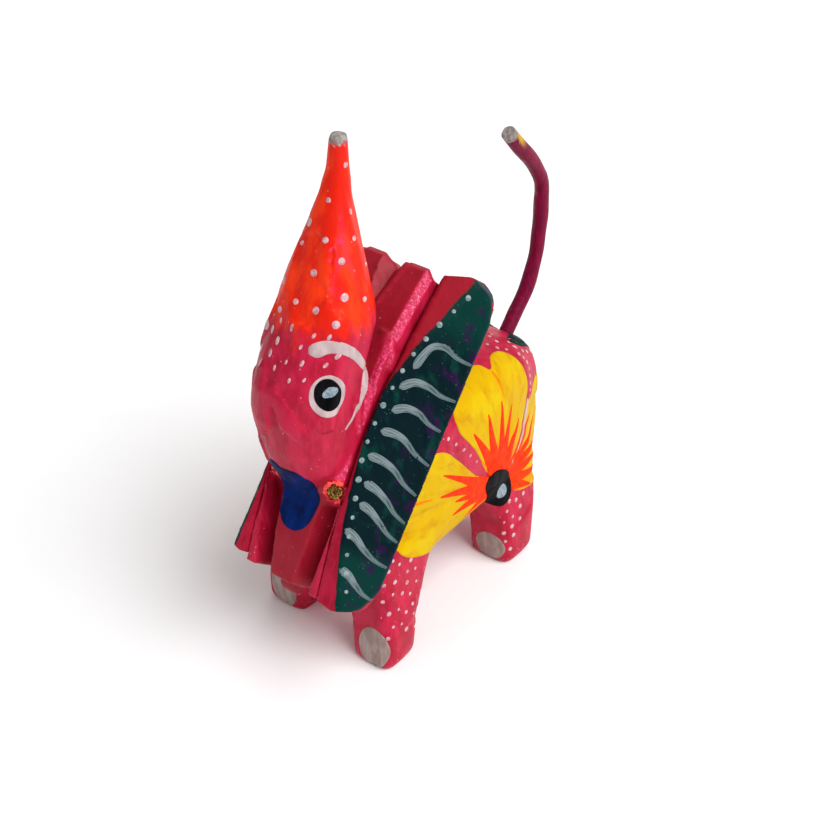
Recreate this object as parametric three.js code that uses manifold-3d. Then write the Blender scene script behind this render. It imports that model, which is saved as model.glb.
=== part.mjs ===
// A small knife-carved wooden elephant with a raised trunk, big leaning ears and a twig tail.
// Millimetres, +Z up. The animal faces -Y, its left side is +X, and it stands on Z = 0.
import * as THREE from 'three';
import { mergeVertices } from 'three/addons/utils/BufferGeometryUtils.js';
import Module from 'manifold-3d';

const wasm = await Module();
wasm.setup();

// Driving sizes
const gap = 0.3; // air left between two pieces that are glued or plugged together
const lengthCentre = 9.7; // the middle of the whole length, which becomes Y = 0
const headLean = THREE.MathUtils.degToRad(38); // how far the forehead and the ears lean back
const sawnBack = 30.6; // flat back of the head, measured forwards square to the lean
const headHalf = 8; // half width of the head between the ears
const ridgeChamfer = 1.5; // flat cut along each outer edge of the forehead
const earTop = 58.7; // top of the ears, measured up the lean
const earBottom = -1.2; // bottom of the left ear, measured up the lean
const leftEar = { reach: 16, bottom: earBottom, top: earTop }; // reach: from the middle outwards
const rightEar = { reach: 14.7, bottom: earBottom + 1.4, top: earTop - 2.6 }; // cut a little smaller
const earRim = 0.9; // thickness left at the outer rim of an ear
const earBevel = THREE.MathUtils.degToRad(35); // turn of the painted ear face from the side
const tenon = { low: 20, high: 38, back: 33, front: 36, depth: 3 }; // ear tongue in the head's side
const tuskHole = { radius: 1.5, depth: 4.5, x: 6.9, up: 17.8, forwards: 41.4, turn: 30 };
const dowel = { radius: 2, length: 13, up: 19 }; // round peg between head and body
const tail = { radius: 1.45, pegDepth: 7, sides: 16 };
const legSides = 16;
const bodySides = 28;

// Paint colours of the bare model
const pinkPaint = { color: 0xc8284f, roughness: 0.45, metalness: 0 };
const tealPaint = { color: 0x0b3b38, roughness: 0.4, metalness: 0 };
const magentaPaint = { color: 0x7c0a38, roughness: 0.5, metalness: 0 };
const bareWood = { color: 0xc79a63, roughness: 0.8, metalness: 0 };

// Turns a closed geometry into a solid that can be joined and cut.
function solid(geometry) {
  const bare = geometry.index ? geometry.toNonIndexed() : geometry.clone();
  bare.deleteAttribute('normal');
  bare.deleteAttribute('uv');
  const merged = mergeVertices(bare, 1e-4);
  return new wasm.Manifold(new wasm.Mesh({
    numProp: 3,
    vertProperties: new Float32Array(merged.attributes.position.array),
    triVerts: new Uint32Array(merged.index.array),
  }));
}

// Turns a finished solid back into a named mesh with its own material.
function piece(name, shape, paint) {
  const result = shape.getMesh();
  const geometry = new THREE.BufferGeometry();
  geometry.setAttribute('position', new THREE.BufferAttribute(new Float32Array(result.vertProperties), 3));
  geometry.setIndex(new THREE.BufferAttribute(new Uint32Array(result.triVerts), 1));
  geometry.computeVertexNormals();
  const mesh = new THREE.Mesh(geometry, new THREE.MeshStandardMaterial(paint));
  mesh.name = name;
  return mesh;
}

// A closed body through level sections, lowest first: [height, x, y, half width, half depth].
// Roundness 1 makes each section an ellipse, and less makes it a rounder and rounder box.
function loft(stations, sides, roundness) {
  const steps = stations.length - 1;
  const geometry = new THREE.CylinderGeometry(1, 1, steps, sides, steps);
  const position = geometry.attributes.position;
  const bend = (value) => Math.sign(value) * Math.abs(value) ** roundness;
  for (let i = 0; i < position.count; i++) {
    const [height, x, y, halfWidth, halfDepth] = stations[Math.round(position.getY(i) + steps / 2)];
    const across = x + halfWidth * bend(position.getX(i));
    const along = y - halfDepth * bend(position.getZ(i));
    position.setXYZ(i, across, along, height);
  }
  return geometry;
}

// An outline extruded square to itself, half to each side. A bevel chamfers both ends inwards.
function plate(points, thickness, bevel = 0) {
  const shape = new THREE.Shape(points.map(([across, up]) => new THREE.Vector2(across, up)));
  const depth = thickness - 2 * bevel;
  const geometry = new THREE.ExtrudeGeometry(shape, {
    depth,
    bevelEnabled: bevel > 0,
    bevelThickness: bevel,
    bevelSize: bevel,
    bevelOffset: -bevel,
    bevelSegments: 1,
  });
  return geometry.translate(0, 0, -depth / 2);
}

// Stands a plate of [forwards, up] points on edge, so that its thickness runs across the animal.
function sidewise(geometry) {
  return geometry.rotateX(Math.PI / 2).rotateZ(-Math.PI / 2);
}

// Stands a plate of [across, up] points on edge, so that its thickness runs along the animal.
function frontwise(geometry) {
  return geometry.rotateX(Math.PI / 2);
}

// Lays a plate of [across, forwards] points level, so that its thickness runs up.
function levelwise(geometry) {
  return geometry.rotateX(Math.PI);
}

function box(fromX, toX, fromY, toY, fromZ, toZ) {
  return new THREE.BoxGeometry(toX - fromX, toY - fromY, toZ - fromZ)
    .translate((fromX + toX) / 2, (fromY + toY) / 2, (fromZ + toZ) / 2);
}

// Moves a geometry from the leaning frame of the head, where -Y is forwards and Z is up the lean.
function leaning(geometry) {
  return geometry.rotateX(-headLean);
}

// A smooth curve through a few hand-set points, as that many plain points.
function smooth(points, count) {
  const curve = new THREE.CatmullRomCurve3(points.map(([a, b]) => new THREE.Vector3(a, b, 0)));
  return curve.getSpacedPoints(count).map((p) => [p.x, p.y]);
}

// The bowed front of the ears and cheeks: [forwards, up the lean], top first.
function bowedFront() {
  return smooth([[38, earTop + 2], [40.9, 48], [42.4, 34], [39.9, 14], [35.4, earBottom - 2]], 14);
}

// A slice of the head block from its sawn back to the bowed front, between two heights.
function earBlock(fromX, toX) {
  const outline = [[sawnBack, earBottom - 2], [sawnBack, earTop + 2], ...bowedFront()];
  return sidewise(plate(outline, toX - fromX)).translate((fromX + toX) / 2, 0, 0);
}

// Trunk and face in one upright column: the trunk's tip is at the top, the upper lip at the bottom.
function faceColumn() {
  const stations = [
    [37.5, 0, -17.5, 5.2, 5.4],
    [40, 0, -18, 6.6, 7.4],
    [43, 0, -18.4, 7.4, 8.4],
    [48, 0, -19.3, 8, 8.7],
    [54, 0, -20, 8.3, 8.8],
    [59, 0, -19.2, 8.5, 8.8],
    [63, 0, -17.4, 8.5, 8.8],
    [67, 0, -15.2, 8.3, 8.4],
    [71, 0, -14, 7.3, 7.3],
    [75, 0, -13.4, 6.2, 6.2],
    [79, 0, -12.7, 4.9, 4.9],
    [83, 0, -11.8, 3.7, 3.7],
    [87, 0, -11, 2.65, 2.65],
    [91, 0, -10.2, 1.8, 1.8],
    [95.4, 0, -9.9, 1.45, 1.45],
    [96.2, 0, -9.8, 1.2, 1.2],
  ];
  return solid(loft(stations, 24, 0.92));
}

// Forehead, brow and cheeks: one thick plate whose outer edges are chamfered.
function forehead() {
  const outline = [
    [sawnBack - 4, 14.6],
    [sawnBack - 4, 51],
    [39.2, 57.8],
    [40.7, 56.9],
    [42.6, 49],
    [43.9, 43],
    [43.9, 33],
    [43.2, 25],
    [42.1, 16.4],
    [39, 14.6],
  ];
  return solid(leaning(sidewise(plate(outline, 2 * headHalf, ridgeChamfer))));
}

// The pointed lower jaw: a side outline cut to a front outline that narrows downwards.
function jaw() {
  const side = [[sawnBack, -2.8], [32.2, -2.8], [35, 3], [37, 9], [40.8, 17], [41, 22], [sawnBack, 22]];
  const front = [[-1.9, -3], [1.9, -3], [3.5, 8], [5.2, 17], [5.2, 22], [-5.2, 22], [-5.2, 17], [-3.5, 8]];
  const sideCut = solid(leaning(sidewise(plate(side, 2 * headHalf))));
  const frontCut = solid(leaning(frontwise(plate(front, 100))));
  return sideCut.intersect(frontCut);
}

// The groove that the knife leaves between the jaw and a cheek.
function jawGroove(side) {
  const section = [[0, 0], [1.6, 8], [-3.4, 8]].map(([across, forwards]) => [side * across, forwards]);
  const wedge = levelwise(plate(section, 44))
    .rotateX(THREE.MathUtils.degToRad(16))
    .rotateY(side * THREE.MathUtils.degToRad(7))
    .translate(side * 6, -32.5, 8);
  return solid(leaning(wedge));
}

// A notch between the two domes of the forehead, cut along a line that tips forwards from upright.
function cleft(slope, tip) {
  const opening = 6;
  const section = [[0, 0], [slope * opening, opening], [-slope * opening, opening]];
  const wedge = levelwise(plate(section, 24))
    .rotateX(-THREE.MathUtils.degToRad(tip))
    .translate(0, -38.4, 55.4);
  return solid(leaning(wedge));
}

// A round rod or cutter that points forwards in the leaning frame, turned outwards by some degrees.
function leaningRod(radius, length, { x = 0, up, forwards, turn = 0 }) {
  const rod = new THREE.CylinderGeometry(radius, radius, length, 20)
    .rotateZ(THREE.MathUtils.degToRad(turn))
    .translate(x, -forwards, up);
  return solid(leaning(rod));
}

// Everything beyond a plane that leans with the head: its normal and a point, [across, forwards, up].
function beyond(normal, point) {
  const reach = 300;
  const aim = new THREE.Vector3(normal[0], -normal[1], normal[2]).normalize();
  const turn = new THREE.Quaternion().setFromUnitVectors(new THREE.Vector3(0, 0, 1), aim);
  const cutter = new THREE.BoxGeometry(reach, reach, reach).translate(0, 0, reach / 2);
  return solid(leaning(cutter.applyQuaternion(turn).translate(point[0], -point[1], point[2])));
}

function aheadOf(forwards) {
  return beyond([0, 1, 0], [0, forwards, 0]);
}

function tuskSocket(side, radius, depth) {
  const hole = { ...tuskHole, x: side * tuskHole.x, turn: side * tuskHole.turn };
  return leaningRod(radius, 2 * depth, hole);
}

// The hole or the tongue that holds an ear in the side of the head, larger by the given clearance.
function earTongue(side, clearance) {
  const inner = headHalf - tenon.depth - clearance;
  const outer = headHalf + 1;
  const [from, to] = side > 0 ? [inner, outer] : [-outer, -inner];
  return solid(leaning(box(
    from,
    to,
    -tenon.front - clearance,
    -tenon.back + clearance,
    tenon.low - clearance,
    tenon.high + clearance,
  )));
}

function dowelRod(clearance) {
  const length = dowel.length + 2 * clearance;
  return leaningRod(dowel.radius + clearance, length, { up: dowel.up, forwards: sawnBack });
}

function makeHead() {
  const cheeks = solid(leaning(earBlock(-headHalf, headHalf)));
  const trimmed = cheeks.intersect(solid(leaning(frontwise(plate(
    [[-headHalf, earBottom + 0.6], [headHalf, earBottom + 0.6], [headHalf, 56], [-headHalf, 56]],
    200,
  )))));
  let shape = trimmed.add(jaw());
  for (const side of [1, -1]) {
    shape = shape.subtract(jawGroove(side));
  }
  shape = shape.add(forehead()).subtract(cleft(1.15, 99)).subtract(cleft(0.9, 24)).add(faceColumn());
  shape = shape.intersect(aheadOf(sawnBack));
  for (const side of [1, -1]) {
    shape = shape.subtract(tuskSocket(side, tuskHole.radius, tuskHole.depth));
    shape = shape.subtract(earTongue(side, gap));
  }
  return piece('head', shape.subtract(dowelRod(gap)), pinkPaint);
}

// An ear: the bowed block, trimmed to a rounded outline, bevelled outwards, with its tongue.
function makeEar(side, { reach, bottom, top }, name) {
  const inner = headHalf + gap;
  const outline = [
    [inner, bottom + 0.4],
    ...smooth([[reach - 4.6, bottom], [reach - 1.6, bottom + 1.4], [reach, bottom + 6]], 6),
    ...smooth([[reach, top - 6.4], [reach - 1.1, top - 2], [reach - 4, top]], 6),
    [inner, top - 1.5],
  ].map(([across, up]) => [side * across, up]);
  const [from, to] = side > 0 ? [inner, reach] : [-reach, -inner];
  const block = solid(leaning(earBlock(from, to)));
  const trimmed = block.intersect(solid(leaning(frontwise(plate(outline, 200)))));
  const painted = beyond([side * Math.cos(earBevel), Math.sin(earBevel), 0], [side * reach, sawnBack + earRim, 0]);
  const upper = beyond([side * 0.47, 0.865, 0.175], [side * headHalf, 38.2, 57]);
  return piece(name, trimmed.subtract(painted).subtract(upper).add(earTongue(side, 0)), tealPaint);
}

function makeTuskStub(side, name) {
  const rest = 0.7; // the break lies this far below the rim of the socket
  const length = tuskHole.depth - rest - gap;
  const turn = THREE.MathUtils.degToRad(tuskHole.turn);
  const middle = -rest - length / 2;
  const stub = leaningRod(tuskHole.radius - gap, length, {
    x: side * (tuskHole.x + middle * Math.sin(turn)),
    up: tuskHole.up,
    forwards: tuskHole.forwards + middle * Math.cos(turn),
    turn: side * tuskHole.turn,
  });
  return piece(name, stub, bareWood);
}

// Torso sections from the chest to the rump: [forwards, x, up, half width, half height].
function torso() {
  const sections = [
    [-38.2, 0, 29, 3, 7],
    [-36.8, 0, 28, 7, 11],
    [-32.8, 0, 27, 10.6, 14.6],
    [-27, 0, 28, 12.8, 16.2],
    [-18, 0, 30.2, 14, 16.4],
    [-8, 0, 30.2, 13.9, 16.6],
    [2, 0, 29.4, 13.6, 17],
    [10, 0, 28.6, 12.8, 16.2],
    [16, 0, 29, 11, 13.6],
    [20, 0, 30, 8, 9],
  ];
  return solid(loft(sections, bodySides, 0.52).rotateX(Math.PI / 2));
}

function frontLeg(side) {
  const stations = [
    [0, side * 11 - 0.2, -13.6 - side, 4.2, 4],
    [1.2, side * 11 - 0.2, -13.6 - side, 4.7, 4.5],
    [7, side * 10.6, -13.4 - side / 2, 4.8, 4.7],
    [14, side * 9.4, -11.4, 5, 6.9],
    [24, side * 8.4, -8.6, 5.2, 10],
  ];
  return solid(loft(stations, legSides, 0.45));
}

function hindLeg(side) {
  const stations = [
    [0, side * 10.9, 22, 4.6, 4.3],
    [1.2, side * 10.9, 22, 5.2, 4.8],
    [9, side * 10.4, 22.6, 5.2, 5.4],
    [16, side * 9.2, 22.6, 5.2, 7.2],
    [24, side * 8, 21.8, 5, 8.4],
  ];
  return solid(loft(stations, legSides, 0.45));
}

// The tail's root: where it leaves the rump and which way it points there.
const tailRoot = new THREE.Vector3(0, 37.7, 38.8);
const tailAim = new THREE.Vector3(0, 0.68, 0.733).normalize();

function tailPeg(clearance) {
  const below = tail.pegDepth + clearance;
  const above = 4;
  const radius = tail.radius + clearance;
  const peg = new THREE.CylinderGeometry(radius, radius, below + above, tail.sides);
  peg.translate(0, (above - below) / 2, 0);
  const turn = new THREE.Quaternion().setFromUnitVectors(new THREE.Vector3(0, 1, 0), tailAim);
  peg.applyQuaternion(turn);
  return peg.translate(tailRoot.x, tailRoot.y, tailRoot.z);
}

function makeBody() {
  let shape = torso();
  for (const side of [1, -1]) {
    shape = shape.add(frontLeg(side)).add(hindLeg(side));
  }
  shape = shape.subtract(aheadOf(sawnBack - gap));
  shape = shape.subtract(dowelRod(gap)).subtract(solid(tailPeg(gap)));
  return piece('body', shape, pinkPaint);
}

// A twig: straight out of the rump, then upright, then kinked forwards over the back.
function makeTail() {
  const start = tailRoot.clone().addScaledVector(tailAim, 0.9);
  const twig = new THREE.CatmullRomCurve3([
    start,
    new THREE.Vector3(0, 43.5, 45.2),
    new THREE.Vector3(0, 46, 51),
    new THREE.Vector3(0, 47, 60),
    new THREE.Vector3(0, 46.6, 66.4),
    new THREE.Vector3(0, 44.6, 70),
    new THREE.Vector3(0, 34.8, 80.4),
  ]);
  const section = new THREE.Shape();
  section.absarc(0, 0, tail.radius, 0, 2 * Math.PI);
  const options = { steps: 26, curveSegments: tail.sides / 2, extrudePath: twig };
  const along = new THREE.ExtrudeGeometry(section, options);
  return piece('tail', solid(along).add(solid(tailPeg(0))), magentaPaint);
}

const elephant = new THREE.Group();
elephant.name = 'elephant';
elephant.position.y = -lengthCentre;
elephant.add(
  makeBody(),
  makeHead(),
  makeEar(1, leftEar, 'left_ear'),
  makeEar(-1, rightEar, 'right_ear'),
  piece('neck_dowel', dowelRod(0), bareWood),
  makeTail(),
  makeTuskStub(1, 'left_tusk_stub'),
  makeTuskStub(-1, 'right_tusk_stub'),
);

export default elephant;
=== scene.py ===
# A small carved and painted wooden elephant: raised trunk, leaning ears, flowered flanks, twig tail.
# Metres, +Z up. The animal faces -Y and its left side is +X.
import math
import random

import bmesh
import bpy
import numpy as np
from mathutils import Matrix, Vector
from mathutils.bvhtree import BVHTree


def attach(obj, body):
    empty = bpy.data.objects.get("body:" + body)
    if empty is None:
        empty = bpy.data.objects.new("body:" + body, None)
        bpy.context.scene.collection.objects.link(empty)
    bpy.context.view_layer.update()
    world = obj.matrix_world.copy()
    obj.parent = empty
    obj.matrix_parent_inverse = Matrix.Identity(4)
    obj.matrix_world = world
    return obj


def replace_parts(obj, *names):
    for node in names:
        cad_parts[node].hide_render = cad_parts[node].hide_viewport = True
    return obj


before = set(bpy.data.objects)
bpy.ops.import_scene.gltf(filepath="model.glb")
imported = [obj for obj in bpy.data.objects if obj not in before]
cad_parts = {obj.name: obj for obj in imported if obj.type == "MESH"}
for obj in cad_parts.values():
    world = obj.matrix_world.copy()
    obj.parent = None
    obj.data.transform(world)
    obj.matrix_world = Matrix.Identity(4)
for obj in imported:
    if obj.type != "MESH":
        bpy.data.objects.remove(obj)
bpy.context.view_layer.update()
print("frame loaded:", ", ".join(sorted(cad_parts)))

mm = 0.001
lean = {"up": Vector((0, 0.6157, 0.788)), "forwards": Vector((0, -0.788, 0.6157))}  # the head's own axes
headShift = Vector((0, 9.7, 0)) * mm  # from the frame to the point that the lean is measured from


def inHead(point):
    # across, forwards and up the lean, in metres
    moved = point + headShift
    return moved.x, moved.dot(lean["forwards"]), moved.dot(lean["up"])


def linked(name, mesh):
    made = bpy.data.objects.new(name, mesh)
    bpy.context.scene.collection.objects.link(made)
    return made


def applied(thing):
    # a piece's modifiers become its mesh
    graph = bpy.context.evaluated_depsgraph_get()
    before = thing.data
    thing.data = bpy.data.meshes.new_from_object(thing.evaluated_get(graph), depsgraph=graph)
    thing.modifiers.clear()
    bpy.data.meshes.remove(before)
    thing.data.name = thing.name


def smoothed(thing, rounds, group=""):
    ease = thing.modifiers.new("ease", "SMOOTH")
    ease.factor = 0.5
    ease.iterations = rounds
    ease.vertex_group = group
    applied(thing)


def shadeSmooth(mesh, smooth=True):
    mesh.polygons.foreach_set("use_smooth", [smooth] * len(mesh.polygons))


def meshFrom(bm, name):
    mesh = bpy.data.meshes.new(name)
    bm.to_mesh(mesh)
    bm.free()
    return mesh


def joinRings(outer, inner, makeFace):
    # faces from one ring of points to the next, or to a single point
    for i, corner in enumerate(outer):
        j = (i + 1) % len(outer)
        makeFace([corner, outer[j], inner[0]] if len(inner) == 1 else [corner, outer[j], inner[j], inner[i]])


def finished(name, bm, material, smooth=True):
    # a closed mesh with its normals outwards, riding on the body
    bmesh.ops.recalc_face_normals(bm, faces=bm.faces)
    mesh = meshFrom(bm, name)
    mesh.materials.append(material)
    shadeSmooth(mesh, smooth)
    made = linked(name, mesh)
    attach(made, "body")
    return made


def carvedCopy(nodeName, name, wood):
    # one even skin over the plain solid, then flat knife cuts all over it
    bm = bmesh.new()
    bm.from_mesh(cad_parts[nodeName].data)
    bmesh.ops.remove_doubles(bm, verts=bm.verts, dist=1e-6)
    block = linked(name, meshFrom(bm, name + "Rough"))
    skin = block.modifiers.new("skin", "REMESH")
    skin.mode = "VOXEL"
    skin.voxel_size = wood["grain"] * mm
    smoothed(block, wood["soften"])
    if "blendBand" in wood:
        # the legs run smoothly into the belly between these two heights
        low, high = (level * mm for level in wood["blendBand"])
        roots = block.vertex_groups.new(name="legRoots")
        for vertex in block.data.vertices:
            share = min(vertex.co.z - low, high - vertex.co.z) / (wood["bandEdge"] * mm)
            if share > 0:
                roots.add([vertex.index], min(share, 1), "REPLACE")
        smoothed(block, wood["ease"], roots.name)
        block.vertex_groups.clear()
    if wood["spacing"]:
        knifeCuts(block.data, wood)
        smoothed(block, wood["settle"])  # paint rounds the crests between cuts
    shadeSmooth(block.data)
    return block


knife = {
    "facing": 0.6,  # a flat cuts only what faces much the same way
    "apart": 0.5,  # flats can be closer together where their directions differ more than this
    "flats": 4,  # how many of the nearest flats can cut a point
    "reach": 1.6,  # how far a flat cuts, in spacings
    "fadeUp": (8, 0.9),  # millimetres in which the cuts get shallow, and how much shallower
    "fadeDown": (5, 0.85),
    "rise": 0.02,
    "sole": 0.6,  # nothing is cut below this height
    "batch": 4000,
}


def knifeCuts(mesh, wood):
    # every point moves down on to the flats of the cuts around it
    count = len(mesh.vertices)
    points = np.empty(count * 3)
    normals = np.empty(count * 3)
    mesh.vertices.foreach_get("co", points)
    mesh.vertex_normals.foreach_get("vector", normals)
    points = points.reshape(-1, 3)
    normals = normals.reshape(-1, 3)
    rng = np.random.default_rng(wood["seed"])
    stretch = 1 / np.array(wood["stretch"])
    centres = []
    for index in rng.permutation(count)[: wood["tries"]]:
        here = points[index] * stretch
        near = [i for i in centres if np.linalg.norm(points[i] * stretch - here) < wood["spacing"] * mm]
        if all(normals[i] @ normals[index] < knife["apart"] for i in near):
            centres.append(index)
    flats = normals[centres] + rng.normal(0, wood["tilt"], (len(centres), 3))
    flats /= np.linalg.norm(flats, axis=1)[:, None]
    for start in range(0, count, knife["batch"]):
        part = slice(start, start + knife["batch"])
        here = points[part]
        gaps = np.linalg.norm((here[:, None] - points[centres][None]) * stretch, axis=2)
        facing = normals[part] @ flats.T
        gaps[facing < knife["facing"]] = 1
        nearest = np.argsort(gaps, axis=1)[:, : knife["flats"]]
        rows = np.arange(len(here))[:, None]
        toFlat = np.einsum("ijk,ijk->ij", points[centres][nearest] - here[:, None], flats[nearest])
        toFlat /= np.maximum(facing[rows, nearest], knife["facing"])
        toFlat[gaps[rows, nearest] >= wood["spacing"] * mm * knife["reach"]] = 0
        lowest = toFlat.min(axis=1)
        over, most = knife["fadeUp"]
        thin = np.clip((here[:, 2] / mm - wood["thinFrom"]) / over, 0, most)
        over, most = knife["fadeDown"]
        thin = np.maximum(thin, np.clip((wood["thinBelow"] - here[:, 2] / mm) / over, 0, most))
        depth = np.clip(lowest, -wood["deepest"] * mm * (1 - thin), knife["rise"] * mm)
        depth[here[:, 2] < knife["sole"] * mm] = 0
        points[part] = here + normals[part] * depth[:, None]
    mesh.vertices.foreach_set("co", points.ravel())
    mesh.update()


def surfaceOf(thing):
    mesh = thing.data
    corners = [vertex.co.copy() for vertex in mesh.vertices]
    return BVHTree.FromPolygons(corners, [tuple(face.vertices) for face in mesh.polygons])


seek = {"from": 25, "through": 40, "grazing": 0.05}  # how marks look for the surface, in millimetres


class Sheet:
    # a flat drawing board in front of a surface: marks drawn on it in millimetres drop on to the surface

    def __init__(self, surface, middle, aim, up=(0, 0, 1), side=1):
        flip = Vector((side, 1, 1))
        self.surface = surface
        normal = Vector(aim).normalized()
        upright = Vector(up)
        upright = (upright - normal * upright.dot(normal)).normalized()
        across = upright.cross(normal)
        self.middle = Vector(middle) * mm * flip
        self.normal = normal * flip
        self.up = upright * flip
        self.across = across * flip

    def drop(self, across, up):
        start = self.middle + (self.across * across + self.up * up + self.normal * seek["from"]) * mm
        place, normal, _, _ = self.surface.ray_cast(start, -self.normal, seek["through"] * mm)
        if place is None or normal.dot(self.normal) < seek["grazing"]:
            guess = self.middle + (self.across * across + self.up * up) * mm
            place, normal, _, _ = self.surface.find_nearest(guess)
        return place, normal


def throughPoints(points, count, closed=False):
    # an even walk along a smooth curve through a few points
    size = len(points)
    fineness = 24  # steps between two of the points
    walk = []
    for span in range(size if closed else size - 1):
        index = (i % size if closed else min(max(i, 0), size - 1) for i in range(span - 1, span + 3))
        a, b, c, d = (Vector(points[i]) for i in index)
        for step in range(fineness):
            t = step / fineness
            square = (2 * a - 5 * b + 4 * c - d) * t**2
            cube = (3 * b - a - 3 * c + d) * t**3
            walk.append((2 * b + (c - a) * t + square + cube) / 2)
    walk.append(Vector(points[0]) if closed else Vector(points[-1]))
    lengths = [0]
    for before, after in zip(walk, walk[1:]):
        lengths.append(lengths[-1] + (after - before).length)
    even = []
    for step in range(count):
        goal = lengths[-1] * step / (count if closed else count - 1)
        place = next((i for i in range(1, len(lengths)) if lengths[i] >= goal), len(lengths) - 1)
        share = (goal - lengths[place - 1]) / max(lengths[place] - lengths[place - 1], 1e-9)
        even.append(walk[place - 1].lerp(walk[place], min(share, 1)))
    return even


brush = {
    "step": 0.45,
    "hairs": (-1, -0.72, -0.3, 0.3, 0.72, 1),  # places across a stroke, where it has points
    "thinnest": 0.05,
    "sunk": 0.03,
    "foot": 0.12,
}
patch = {"around": 72, "step": 0.9, "edge": (1, 0.985), "inside": 0.96, "sunk": 0.03, "foot": 0.15}


def brushMark(bm, sheet, path, width, height, blunt, taper, lift=0.0):
    # one stroke of a loaded brush: round where it starts, thin where it lifts off
    uv = bm.loops.layers.uv.verify()
    length = sum((Vector(b) - Vector(a)).length for a, b in zip(path, path[1:]))
    steps = max(8, int(length / brush["step"]))
    line = throughPoints(path, steps)
    rings = []
    for step, here in enumerate(line):
        ahead = line[min(step + 1, steps - 1)] - line[max(step - 1, 0)]
        ahead.normalize()
        square = Vector((-ahead.y, ahead.x))
        along = step / (steps - 1)
        swell = min(1, along / blunt)
        half = width / 2 * math.sqrt(max(1 - (1 - swell) ** 2, 0.02)) * (1 - taper * along) ** 0.7
        half = max(half, brush["thinnest"])
        top = []
        bottom = []
        for offset in brush["hairs"]:
            spot = here + square * half * offset
            place, normal = sheet.drop(spot.x, spot.y)
            rise = lift + height * (1 - offset**4) - brush["sunk"]
            top.append(bm.verts.new(place + normal * rise * mm))
            bottom.append(bm.verts.new(place - normal * brush["foot"] * mm))
        rings.append((top, bottom, along))
    last = len(brush["hairs"]) - 1

    def face(corners, places):
        made = bm.faces.new(corners)
        for loop, place in zip(made.loops, places):
            loop[uv].uv = place

    for (top, bottom, here), (nextTop, nextBottom, ahead) in zip(rings, rings[1:]):
        for i in range(last):
            low = i / last
            high = (i + 1) / last
            places = [(low, here), (high, here), (high, ahead), (low, ahead)]
            face([top[i], top[i + 1], nextTop[i + 1], nextTop[i]], places)
            face([bottom[i + 1], bottom[i], nextBottom[i], nextBottom[i + 1]], places)
        places = [(0, here), (0, ahead), (0, ahead), (0, here)]
        face([top[0], nextTop[0], nextBottom[0], bottom[0]], places)
        places = [(1, here), (1, here), (1, ahead), (1, ahead)]
        face([top[-1], bottom[-1], nextBottom[-1], nextTop[-1]], places)
    for top, bottom, here in (rings[0], rings[-1]):
        for i in range(last):
            face([top[i], bottom[i], bottom[i + 1], top[i + 1]], [(0.5, here)] * 4)


def paintPatch(bm, sheet, outline, height, around=patch["around"], middle=None, reach=1.0):
    # a filled shape with a slightly thick edge; UV holds the direction and distance from (0, 0)
    uv = bm.loops.layers.uv.verify()
    edge = throughPoints(outline, around, closed=True)
    centre = Vector(middle) if middle else sum(edge, Vector((0, 0))) / around
    rings = max(6, int(max((spot - centre).length for spot in edge) / patch["step"]))
    shares = list(patch["edge"]) + [patch["inside"] * (1 - ring / rings) for ring in range(rings)]
    places = {}

    def corner(spot, rise):
        place, normal = sheet.drop(spot.x, spot.y)
        made = bm.verts.new(place + normal * rise * mm)
        places[made] = (math.atan2(spot.y, spot.x) / math.tau + 0.5, spot.length / reach)
        return made

    tops = []
    bottoms = []
    for share in shares:
        rise = -patch["sunk"] if share == 1 else height
        tops.append([corner(centre.lerp(spot, share), rise) for spot in edge])
        bottoms.append([corner(centre.lerp(spot, share), -patch["foot"]) for spot in edge])
    caps = corner(centre, height), corner(centre, -patch["foot"])

    def face(corners):
        made = bm.faces.new(corners)
        values = [places[c] for c in corners]
        low = min(u for u, _ in values)
        for loop, (u, v) in zip(made.loops, values):
            loop[uv].uv = (u - 1 if u - low > 0.5 else u, v)

    for rows, cap in ((tops, caps[0]), (bottoms, caps[1])):
        for outer, inner in zip(rows, rows[1:] + [[cap]]):
            joinRings(outer, inner, face)
    for i in range(around):
        j = (i + 1) % around
        face([tops[0][i], bottoms[0][i], bottoms[0][j], tops[0][j]])


def oval(width, height, wobble, seed, turn=0, middle=(0, 0)):
    # a hand-painted oval of a few points
    rng = random.Random(seed)
    angle = math.radians(turn)
    count = 8
    points = []
    for step in range(count):
        around = math.tau * step / count
        size = 1 + rng.uniform(-wobble, wobble)
        x = width / 2 * math.cos(around) * size
        y = height / 2 * math.sin(around) * size
        across = x * math.cos(angle) - y * math.sin(angle)
        points.append((middle[0] + across, middle[1] + x * math.sin(angle) + y * math.cos(angle)))
    return points


def add(tree, kind, inputs=None, **settings):
    made = tree.nodes.new(kind)
    for key, value in settings.items():
        setattr(made, key, value)
    for key, value in (inputs or {}).items():
        if isinstance(value, bpy.types.NodeSocket):
            tree.links.new(value, made.inputs[key])
        else:
            made.inputs[key].default_value = value
    return made


def calc(tree, operation, first, second=0.0):
    return add(tree, "ShaderNodeMath", {0: first, 1: second}, operation=operation).outputs[0]


def times(tree, first, second):
    return calc(tree, "MULTIPLY", first, second)


paintDrop = {"sides": 10, "rings": ((1, -0.5), (1, 0), (0.8, 0.75), (0.4, 1.1)), "top": 1.15}


def domeMesh():
    # a drop of paint, sunk a little
    bm = bmesh.new()
    sides = paintDrop["sides"]
    rings = []
    for radius, rise in paintDrop["rings"]:
        ring = []
        for i in range(sides):
            angle = math.tau * i / sides
            ring.append(bm.verts.new((radius * math.cos(angle), radius * math.sin(angle), rise)))
        rings.append(ring)
    rings.append([bm.verts.new((0, 0, paintDrop["top"]))])
    for low, high in zip(rings, rings[1:]):
        joinRings(low, high, bm.faces.new)
    bm.faces.new(list(reversed(rings[0])))
    return meshFrom(bm, "paintDrop")


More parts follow.
